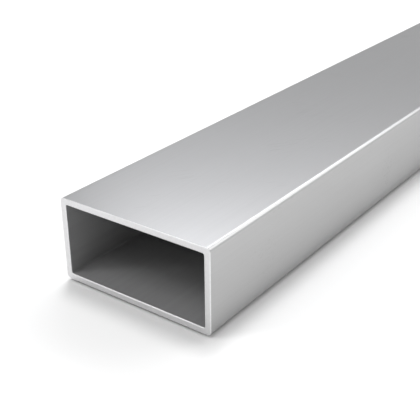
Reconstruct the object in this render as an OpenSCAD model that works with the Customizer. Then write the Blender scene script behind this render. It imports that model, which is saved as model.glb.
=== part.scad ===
// Rectangular aluminium tube, 80 x 40 mm with 3 mm walls, sawn from extruded stock to 1 m.
// It is one piece, lying on a wide face as it would on a bench.
// Y runs along the tube, X across its width and Z up. The origin is the centre of the underside.

/* [Section] */
// Outside width, across the wide faces
section_w = 80; // [40:1:200]
// Outside height, across the narrow faces
section_h = 40; // [20:1:150]
// Wall thickness, the same on all four sides
wall = 3; // [2:0.1:6]
// Radius of the outside corners
outer_r = 2; // [0.6:0.1:3]
// Radius of the inside corners
inner_r = 0.8; // [0.4:0.1:2]

/* [Sawn ends] */
// Length of the tube from one sawn end to the other
length = 1000; // [100:10:6000]
// Width of the bevel that deburring leaves round the outside of an end
outer_bevel = 0.3; // [0.1:0.1:0.5]
// Width of the bevel that deburring leaves round the mouth of the bore
mouth_bevel = 0.4; // [0.1:0.1:0.5]

/* [Hidden] */
$fn = 64;
bore_w = section_w - 2 * wall;
bore_h = section_h - 2 * wall;
overcut = 1; // how far the bore is cut past each end

// The centres of the corner arcs of a round-cornered rectangle
module at_corners(w, h, r) {
    for (x = [-1, 1], y = [-1, 1])
        translate([x * (w / 2 - r), y * (h / 2 - r)])
            children();
}

// Both ends of a bar that stands along Z, with the children's Z pointing outwards
module at_ends(bar_length) {
    for (end = [0, 1])
        mirror([0, 0, end])
            translate([0, 0, bar_length / 2])
                children();
}

// Round-cornered rectangle, centred on the origin
module outline(w, h, r) {
    square([w, h - 2 * r], center = true);
    square([w - 2 * r, h], center = true);
    at_corners(w, h, r)
        circle(r);
}

// Slab that stands on that outline and slopes at 45 degrees all round as it rises,
// outwards where lean is 1 and inwards where it is -1
module sloped_slab(w, h, r, rise, lean) {
    spread = lean * rise;
    for (side = [[w, h, 0], [h, w, 90]])
        rotate([90, 0, side[2]])
            linear_extrude(side[1] - 2 * r, center = true)
                polygon([
                    [-side[0] / 2, 0],
                    [side[0] / 2, 0],
                    [side[0] / 2 + spread, rise],
                    [-side[0] / 2 - spread, rise],
                ]);
    at_corners(w, h, r)
        cylinder(h = rise, r1 = r, r2 = r + spread);
}

// The extruded bar as if it were solid, with its end edges bevelled
module blank() {
    straight = length - 2 * outer_bevel;
    linear_extrude(straight, center = true)
        outline(section_w, section_h, outer_r);
    at_ends(straight)
        sloped_slab(section_w, section_h, outer_r, outer_bevel, -1);
}

// The space inside, which opens out at each mouth
module bore() {
    linear_extrude(length + 2 * overcut, center = true)
        outline(bore_w, bore_h, inner_r);
    at_ends(length - 2 * mouth_bevel)
        sloped_slab(bore_w, bore_h, inner_r, mouth_bevel + overcut, 1);
}

module tube() {
    color("silver")
        translate([0, 0, section_h / 2])
            rotate([90, 0, 0])
                difference() {
                    blank();
                    bore();
                }
}

tube();
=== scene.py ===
import math

import bmesh
import bpy
from mathutils import Matrix, Vector


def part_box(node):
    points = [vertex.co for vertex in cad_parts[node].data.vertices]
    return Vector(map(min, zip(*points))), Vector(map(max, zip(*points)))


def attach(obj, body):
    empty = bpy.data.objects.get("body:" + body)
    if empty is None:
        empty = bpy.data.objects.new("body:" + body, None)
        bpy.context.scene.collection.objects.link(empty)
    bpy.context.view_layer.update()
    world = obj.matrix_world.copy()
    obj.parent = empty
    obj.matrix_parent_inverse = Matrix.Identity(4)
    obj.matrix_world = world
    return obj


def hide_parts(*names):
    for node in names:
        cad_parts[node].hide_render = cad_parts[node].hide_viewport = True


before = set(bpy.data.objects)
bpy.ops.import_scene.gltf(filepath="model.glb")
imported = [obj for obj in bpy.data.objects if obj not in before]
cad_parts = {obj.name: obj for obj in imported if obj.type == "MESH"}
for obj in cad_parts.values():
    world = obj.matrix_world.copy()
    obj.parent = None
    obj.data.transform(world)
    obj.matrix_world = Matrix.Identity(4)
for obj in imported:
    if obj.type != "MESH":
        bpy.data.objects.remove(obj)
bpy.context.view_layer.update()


# The tube
# One length of extruded aluminium box section, pressed through a die as one hollow piece and sawn
# square at both ends, with no coating. A file has taken the burr off every sawn edge, outside and
# in the mouth of the bore.
low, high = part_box("tube")
width = high.x - low.x
height = high.z - low.z
length = high.y - low.y
centre = (low + high) / 2
wall = 0.003
outer_corner = 0.002
inner_corner = 0.0008
outer_bevel = 0.0003
mouth_bevel = 0.0004
corner_steps = 10
bevel_steps = 3
round_profile = 0.5
flat_tolerance = 0.000001

SKIN, BORE, SAWN, FILED = range(4)


def add_sleeve(bm, across, up, corner, slot):
    """An open-ended skin along Y with rounded long edges. Returns its faces."""
    cube = bmesh.ops.create_cube(bm, size=1)
    corners = cube["verts"]
    bmesh.ops.scale(bm, vec=(across, length, up), verts=corners)
    faces = {face for corner_vert in corners for face in corner_vert.link_faces}
    ends = [face for face in faces if abs(face.normal.y) > 0.5]
    bmesh.ops.delete(bm, geom=ends, context="FACES_ONLY")
    long_edges = [
        edge
        for edge in {edge for corner_vert in corners for edge in corner_vert.link_edges}
        if abs(edge.verts[0].co.y - edge.verts[1].co.y) > length / 2
    ]
    before = set(bm.faces) - faces
    bmesh.ops.bevel(
        bm, geom=long_edges, offset=corner, offset_type="OFFSET", affect="EDGES",
        segments=corner_steps, profile=round_profile, material=-1, clamp_overlap=True,
    )
    made = [face for face in bm.faces if face not in before]
    for face in made:
        face.material_index = slot
    return made


def rim_edges(faces, end):
    """The edges of those faces that lie in the plane of one sawn end."""
    plane = end * length / 2
    return [
        edge
        for edge in {edge for face in faces for edge in face.edges}
        if all(abs(vert.co.y - plane) < flat_tolerance for vert in edge.verts)
    ]


bm = bmesh.new()
skin = add_sleeve(bm, width, height, outer_corner, SKIN)
bore = add_sleeve(bm, width - 2 * wall, height - 2 * wall, inner_corner, BORE)
bmesh.ops.reverse_faces(bm, faces=bore)
outer_rims = []
mouth_rims = []
for end in (-1, 1):
    outer_rim = rim_edges(skin, end)
    mouth_rim = rim_edges(bore, end)
    ring = bmesh.ops.bridge_loops(bm, edges=outer_rim + mouth_rim)
    for face in ring["faces"]:
        face.material_index = SAWN
    outer_rims += outer_rim
    mouth_rims += mouth_rim
for rims, filed_width in ((outer_rims, outer_bevel), (mouth_rims, mouth_bevel)):
    bmesh.ops.bevel(
        bm, geom=rims, offset=filed_width, offset_type="OFFSET", affect="EDGES",
        segments=bevel_steps, profile=round_profile, material=FILED, clamp_overlap=True,
    )
bmesh.ops.recalc_face_normals(bm, faces=bm.faces)
bmesh.ops.translate(bm, vec=centre, verts=bm.verts)
for face in bm.faces:
    face.smooth = True
tube_mesh = bpy.data.meshes.new("tube_metal")
bm.to_mesh(tube_mesh)
bm.free()
tube = bpy.data.objects.new("tube_metal", tube_mesh)
bpy.context.scene.collection.objects.link(tube)
even_shading = tube.modifiers.new("even_shading", "WEIGHTED_NORMAL")
even_shading.mode = "FACE_AREA"
even_shading.weight = 100
even_shading.keep_sharp = True


def add_node(tree, kind, inputs=None, **settings):
    """A node with its settings made, and its inputs set or linked."""
    made = tree.nodes.new(kind)
    for name, value in settings.items():
        setattr(made, name, value)
    for name, value in (inputs or {}).items():
        if isinstance(value, bpy.types.NodeSocket):
            tree.links.new(value, made.inputs[name])
        else:
            made.inputs[name].default_value = value
    return made


def start_group(name, inputs, outputs):
    """An empty shader group with those sockets, all of them numbers but Vector."""
    group = bpy.data.node_groups.new(name, "ShaderNodeTree")
    for label in inputs:
        kind = "NodeSocketVector" if label == "Vector" else "NodeSocketFloat"
        group.interface.new_socket(label, in_out="INPUT", socket_type=kind)
    for label in outputs:
        group.interface.new_socket(label, in_out="OUTPUT", socket_type="NodeSocketFloat")
    given = group.nodes.new("NodeGroupInput").outputs
    result = group.nodes.new("NodeGroupOutput").inputs
    return group, given, result


def spread(tree, value, low_value, high_value):
    """A mask from 0 to 1 turned into a value between two others."""
    return add_node(tree, "ShaderNodeMapRange", {
        "Value": value, "To Min": low_value, "To Max": high_value}).outputs["Result"]


def draw_out(tree, vector, share):
    """Coordinates that make a pattern longer along the tube. A small share makes it very long."""
    return add_node(tree, "ShaderNodeVectorMath", {
        0: vector, 1: (1, share, 1)}, operation="MULTIPLY").outputs[0]


def add_noise(tree, vector, scale, detail, span):
    """Noise with its middle part spread over 0 to 1. A small span gives a strong contrast."""
    noise = add_node(tree, "ShaderNodeTexNoise", {
        "Vector": vector, "Scale": scale, "Detail": detail})
    return add_node(tree, "ShaderNodeMapRange", {
        "Value": noise.outputs["Fac"],
        "From Min": 0.5 - span, "From Max": 0.5 + span}).outputs["Result"]


def blend(tree, first, second, share):
    """The first mask, with a share of the second in it."""
    return add_node(tree, "ShaderNodeMix", {
        0: share, 2: first, 3: second}, data_type="FLOAT").outputs[0]


# Long fine lines that the die draws, and the soft clouds between them
usual_span = 0.25
line_share = 0.008
line_detail = 3.0
cloud_share = 0.35
cloud_scale = 22.0
cloud_detail = 2.0
die_lines, given, result = start_group(
    "die_lines", ["Vector", "Lines Per Metre"], ["Lines", "Cloud"])
line_place = draw_out(die_lines, given["Vector"], line_share)
line_noise = add_noise(die_lines, line_place, given["Lines Per Metre"], line_detail, usual_span)
die_lines.links.new(line_noise, result["Lines"])
cloud_place = draw_out(die_lines, given["Vector"], cloud_share)
cloud_noise = add_noise(die_lines, cloud_place, cloud_scale, cloud_detail, usual_span)
die_lines.links.new(cloud_noise, result["Cloud"])

# A few thin slanting marks that handling leaves, each about as long as Length
rub_slant = math.radians(35)
rub_share = 0.06
mark_scale = 6.0
rub_detail = 1.0
rub_patch_scale = 30.0
rub_patch_span = 0.2
rub_starts = 0.62
rub_full = 0.80
rub_marks, given, result = start_group("rub_marks", ["Vector", "Length", "Amount"], ["Marks"])
slanted = add_node(rub_marks, "ShaderNodeVectorRotate", {
    "Vector": given["Vector"], "Angle": rub_slant}, rotation_type="Z_AXIS").outputs["Vector"]
thin = draw_out(rub_marks, slanted, rub_share)
per_metre = add_node(rub_marks, "ShaderNodeMath", {
    0: mark_scale, 1: given["Length"]}, operation="DIVIDE")
streaks = add_noise(rub_marks, thin, per_metre.outputs[0], rub_detail, usual_span)
patches = add_noise(rub_marks, given["Vector"], rub_patch_scale, rub_detail, rub_patch_span)
few = add_node(rub_marks, "ShaderNodeMath", {0: streaks, 1: patches}, operation="MULTIPLY")
sharp = add_node(rub_marks, "ShaderNodeMapRange", {
    "Value": few.outputs[0], "From Min": rub_starts, "From Max": rub_full,
    "To Max": given["Amount"]})
rub_marks.links.new(sharp.outputs["Result"], result["Marks"])


def start_metal(name, metallic):
    """A material, its tree, its shader and the object coordinates."""
    material = bpy.data.materials.new(name)
    material.use_nodes = True
    tree = material.node_tree
    shader = tree.nodes["Principled BSDF"]
    shader.inputs["Metallic"].default_value = metallic
    place = tree.nodes.new("ShaderNodeTexCoord").outputs["Object"]
    tube_mesh.materials.append(material)
    return tree, shader, place


def set_surface(tree, shader, mask, height, dull, bright, smooth, rough, depth):
    """Colour and roughness from a mask, whose high places are bright and smooth, and a relief."""
    colour = add_node(tree, "ShaderNodeMix", {
        0: mask, 6: (*dull, 1), 7: (*bright, 1)}, data_type="RGBA")
    tree.links.new(colour.outputs[2], shader.inputs["Base Color"])
    tree.links.new(spread(tree, mask, rough, smooth), shader.inputs["Roughness"])
    relief = add_node(tree, "ShaderNodeBump", {"Height": height, "Distance": depth, "Strength": 1.0})
    tree.links.new(relief.outputs["Normal"], shader.inputs["Normal"])


# The skin is satin. Its roughness stays above 0.274, because the render's denoiser leaves false
# streaks where a surface crosses that value.
skin_lines_per_metre = 900.0
skin_clouds = 0.6
skin_tint = 0.75
rub_length = 0.006
rub_amount = 0.8
tree, shader, place = start_metal("extruded_skin", 1.0)
shader.inputs["Specular Tint"].default_value = (skin_tint, skin_tint, skin_tint, 1)
lines = add_node(tree, "ShaderNodeGroup", {
    "Vector": place, "Lines Per Metre": skin_lines_per_metre}, node_tree=die_lines)
rubs = add_node(tree, "ShaderNodeGroup", {
    "Vector": place, "Length": rub_length, "Amount": rub_amount}, node_tree=rub_marks)
worn = blend(tree, lines.outputs["Lines"], lines.outputs["Cloud"], skin_clouds)
worn = add_node(tree, "ShaderNodeMath", {
    0: worn, 1: rubs.outputs["Marks"]}, operation="SUBTRACT", use_clamp=True)
set_surface(
    tree, shader, mask=worn.outputs[0], height=lines.outputs["Lines"],
    dull=(0.455, 0.455, 0.455), bright=(0.500, 0.500, 0.500),
    smooth=0.276, rough=0.296, depth=0.0000015)

# The bore is a dull grey that mirrors next to nothing, with coarser lines
bore_lines_per_metre = 450.0
bore_clouds = 0.5
bore_gloss = 0.2
tree, shader, place = start_metal("extruded_bore", 0.0)
shader.inputs["Specular IOR Level"].default_value = bore_gloss
lines = add_node(tree, "ShaderNodeGroup", {
    "Vector": place, "Lines Per Metre": bore_lines_per_metre}, node_tree=die_lines)
dull_streaks = blend(tree, lines.outputs["Lines"], lines.outputs["Cloud"], bore_clouds)
set_surface(
    tree, shader, mask=dull_streaks, height=lines.outputs["Lines"],
    dull=(0.276, 0.276, 0.279), bright=(0.322, 0.322, 0.325),
    smooth=0.37, rough=0.43, depth=0.000004)

# The saw leaves shallow arcs about 0.6 mm apart, round the place where its blade turned
blade_to_tube = (0.11, 0, 0.14)
arc_scale = 520.0
arc_wobble = 1.5
wobble_detail = 2.0
wobble_scale = 0.6
grain_scale = 700.0
grain_detail = 3.0
grain_share = 0.65
tree, shader, place = start_metal("sawn_end", 1.0)
blade_place = add_node(tree, "ShaderNodeVectorMath", {0: place, 1: blade_to_tube}, operation="ADD")
arcs = add_node(tree, "ShaderNodeTexWave", {
    "Vector": blade_place.outputs[0], "Scale": arc_scale, "Distortion": arc_wobble,
    "Detail": wobble_detail, "Detail Scale": wobble_scale},
    wave_type="RINGS", rings_direction="Y")
grain = add_noise(tree, place, grain_scale, grain_detail, usual_span)
sawn = blend(tree, arcs.outputs["Fac"], grain, grain_share)
set_surface(
    tree, shader, mask=sawn, height=sawn,
    dull=(0.670, 0.668, 0.672), bright=(0.730, 0.728, 0.732),
    smooth=0.39, rough=0.46, depth=0.000003)

# The file leaves the edges bright
stroke_scale = 1500.0
stroke_detail = 2.0
tree, shader, place = start_metal("filed_edge", 1.0)
strokes = add_noise(tree, place, stroke_scale, stroke_detail, usual_span)
set_surface(
    tree, shader, mask=strokes, height=strokes,
    dull=(0.74, 0.74, 0.742), bright=(0.82, 0.82, 0.822),
    smooth=0.28, rough=0.36, depth=0.000002)

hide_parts("tube")
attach(tube, "root")


# The floor
# A plain matt white sheet. It lies 1.2 mm below the tube and not against it, which lets a thin
# shadow line show under the lower edges.
floor_size = 16.0
floor_drop = 0.0012
floor_white = (0.95, 0.95, 0.95, 1)
floor_mesh = bpy.data.meshes.new("floor")
bm = bmesh.new()
bmesh.ops.create_grid(bm, x_segments=1, y_segments=1, size=floor_size / 2)
bmesh.ops.translate(bm, vec=(0, 0, low.z - floor_drop), verts=bm.verts)
bm.to_mesh(floor_mesh)
bm.free()
floor = bpy.data.objects.new("floor", floor_mesh)
bpy.context.scene.collection.objects.link(floor)
floor_paint = bpy.data.materials.new("floor_paint")
floor_paint.use_nodes = True
tree = floor_paint.node_tree
tree.nodes.clear()
paint = add_node(tree, "ShaderNodeBsdfDiffuse", {"Color": floor_white})
add_node(tree, "ShaderNodeOutputMaterial", {"Surface": paint.outputs[0]})
floor_mesh.materials.append(floor_paint)


# The light
# A white studio: the floor runs up into a white backdrop under a grey ceiling. The camera and the
# metal's reflections see the backdrop white, but it lights matt surfaces much less, so that the
# bore stays dark. Six softboxes stand so far off that their light is even all along the tube.
light_distance = 100.0
aim_from_end = 0.2
light_aim = Vector((0, low.y + aim_from_end, 0))
backdrop_seen = 1.0
backdrop_light = 0.1
backdrop_ends = 0.12
ceiling_starts = 0.26
ceiling_front = 0.54
ceiling_back = 0.385

world = bpy.data.worlds.new("studio")
world.use_nodes = True
bpy.context.scene.world = world
tree = world.node_tree
tree.nodes.clear()
direction = add_node(tree, "ShaderNodeTexCoord").outputs["Generated"]
split = add_node(tree, "ShaderNodeSeparateXYZ", {0: direction})
ray = add_node(tree, "ShaderNodeLightPath").outputs
seen = add_node(tree, "ShaderNodeMath", {
    0: ray["Is Camera Ray"], 1: ray["Is Glossy Ray"]}, operation="MAXIMUM")
seen = add_node(tree, "ShaderNodeMath", {
    0: seen.outputs[0], 1: ray["Is Transmission Ray"]}, operation="MAXIMUM")
wall_level = spread(tree, seen.outputs[0], backdrop_light, backdrop_seen)
ceiling_level = add_node(tree, "ShaderNodeMapRange", {
    "Value": split.outputs["Y"], "From Min": -1.0, "From Max": 0.0,
    "To Min": ceiling_front, "To Max": ceiling_back})
level = add_node(tree, "ShaderNodeMapRange", {
    "Value": split.outputs["Z"], "From Min": backdrop_ends, "From Max": ceiling_starts,
    "To Min": wall_level, "To Max": ceiling_level.outputs["Result"]},
    interpolation_type="SMOOTHSTEP")
backdrop = add_node(tree, "ShaderNodeBackground", {
    "Color": (1, 1, 1, 1), "Strength": level.outputs["Result"]})
add_node(tree, "ShaderNodeOutputWorld", {"Surface": backdrop.outputs[0]})

plain_white = (1, 1, 1)
cool_white = (0.99, 1, 1.038)


def add_softbox(name, azimuth, elevation, wide, tall, radiance, colour=plain_white, mirrored=True):
    """A lamp whose place and size are angles in degrees. Azimuth 0 is past the far end."""
    round_by = math.radians(azimuth)
    up_by = math.radians(elevation)
    away = Vector((
        math.sin(round_by) * math.cos(up_by),
        math.cos(round_by) * math.cos(up_by),
        math.sin(up_by),
    ))
    lamp = bpy.data.lights.new(name, "AREA")
    lamp.shape = "RECTANGLE"
    lamp.size = 2 * light_distance * math.tan(math.radians(wide) / 2)
    lamp.size_y = 2 * light_distance * math.tan(math.radians(tall) / 2)
    lamp.energy = radiance * math.pi * lamp.size * lamp.size_y
    lamp.color = colour
    holder = bpy.data.objects.new(name, lamp)
    turn = away.to_track_quat("Z", "Y").to_matrix().to_4x4()
    holder.matrix_world = Matrix.Translation(light_aim + away * light_distance) @ turn
    holder.visible_camera = False
    holder.visible_glossy = mirrored
    bpy.context.scene.collection.objects.link(holder)


# Two for the top face, one for the bright long edge, and one for the floor and the bore's mouth
add_softbox(
    "back_softbox", azimuth=-21.8, elevation=38.5, wide=41, tall=12, radiance=3.92,
    colour=cool_white)
add_softbox(
    "low_softbox", azimuth=-30, elevation=27, wide=35.6, tall=10, radiance=0.38,
    colour=cool_white)
add_softbox("edge_softbox", azimuth=26, elevation=32.5, wide=39, tall=30, radiance=1.85)
add_softbox("front_softbox", azimuth=194, elevation=64, wide=30, tall=22, radiance=2.6)
# One for the filed edges, and a steep one for the shadows, kept out of the metal's reflections
add_softbox("rim_softbox", azimuth=224, elevation=38, wide=12, tall=28, radiance=4.4)
add_softbox(
    "overhead_softbox", azimuth=-33.7, elevation=75.6, wide=12, tall=18, radiance=18.0,
    mirrored=False)


# The camera
# It looks down on the near sawn end from its right. The upper right corner of that end is put at
# one place in the photograph's frame, in pixels from its upper left corner.
photo_px = 420
focal_px = 838.4
camera_azimuth = math.radians(36.64)
camera_elevation = math.radians(26.35)
camera_roll = math.radians(-0.61)
corner_px = Vector((209.96, 249.33))
corner_depth = 0.31709
sensor_width = 36.0

sin_a = math.sin(camera_azimuth)
cos_a = math.cos(camera_azimuth)
sin_e = math.sin(camera_elevation)
cos_e = math.cos(camera_elevation)
back = Vector((sin_a * cos_e, -cos_a * cos_e, sin_e))
right = Vector((cos_a, sin_a, 0))
up = back.cross(right)
turned_right = right * math.cos(camera_roll) + up * math.sin(camera_roll)
turned_up = up * math.cos(camera_roll) - right * math.sin(camera_roll)
near_corner = Vector((high.x, low.y, high.z))
metres_per_px = corner_depth / focal_px
camera_place = (
    near_corner
    + back * corner_depth
    - turned_right * (corner_px.x - photo_px / 2) * metres_per_px
    + turned_up * (corner_px.y - photo_px / 2) * metres_per_px
)
lens = bpy.data.cameras.new("camera")
lens.sensor_fit = "HORIZONTAL"
lens.sensor_width = sensor_width
lens.lens = sensor_width * focal_px / photo_px
lens.clip_start = 0.01
lens.clip_end = 100
camera = bpy.data.objects.new("camera", lens)
turn = Matrix((turned_right, turned_up, back)).transposed().to_4x4()
camera.matrix_world = Matrix.Translation(camera_place) @ turn
bpy.context.scene.collection.objects.link(camera)
bpy.context.scene.camera = camera
bpy.context.scene.view_settings.view_transform = "Standard"
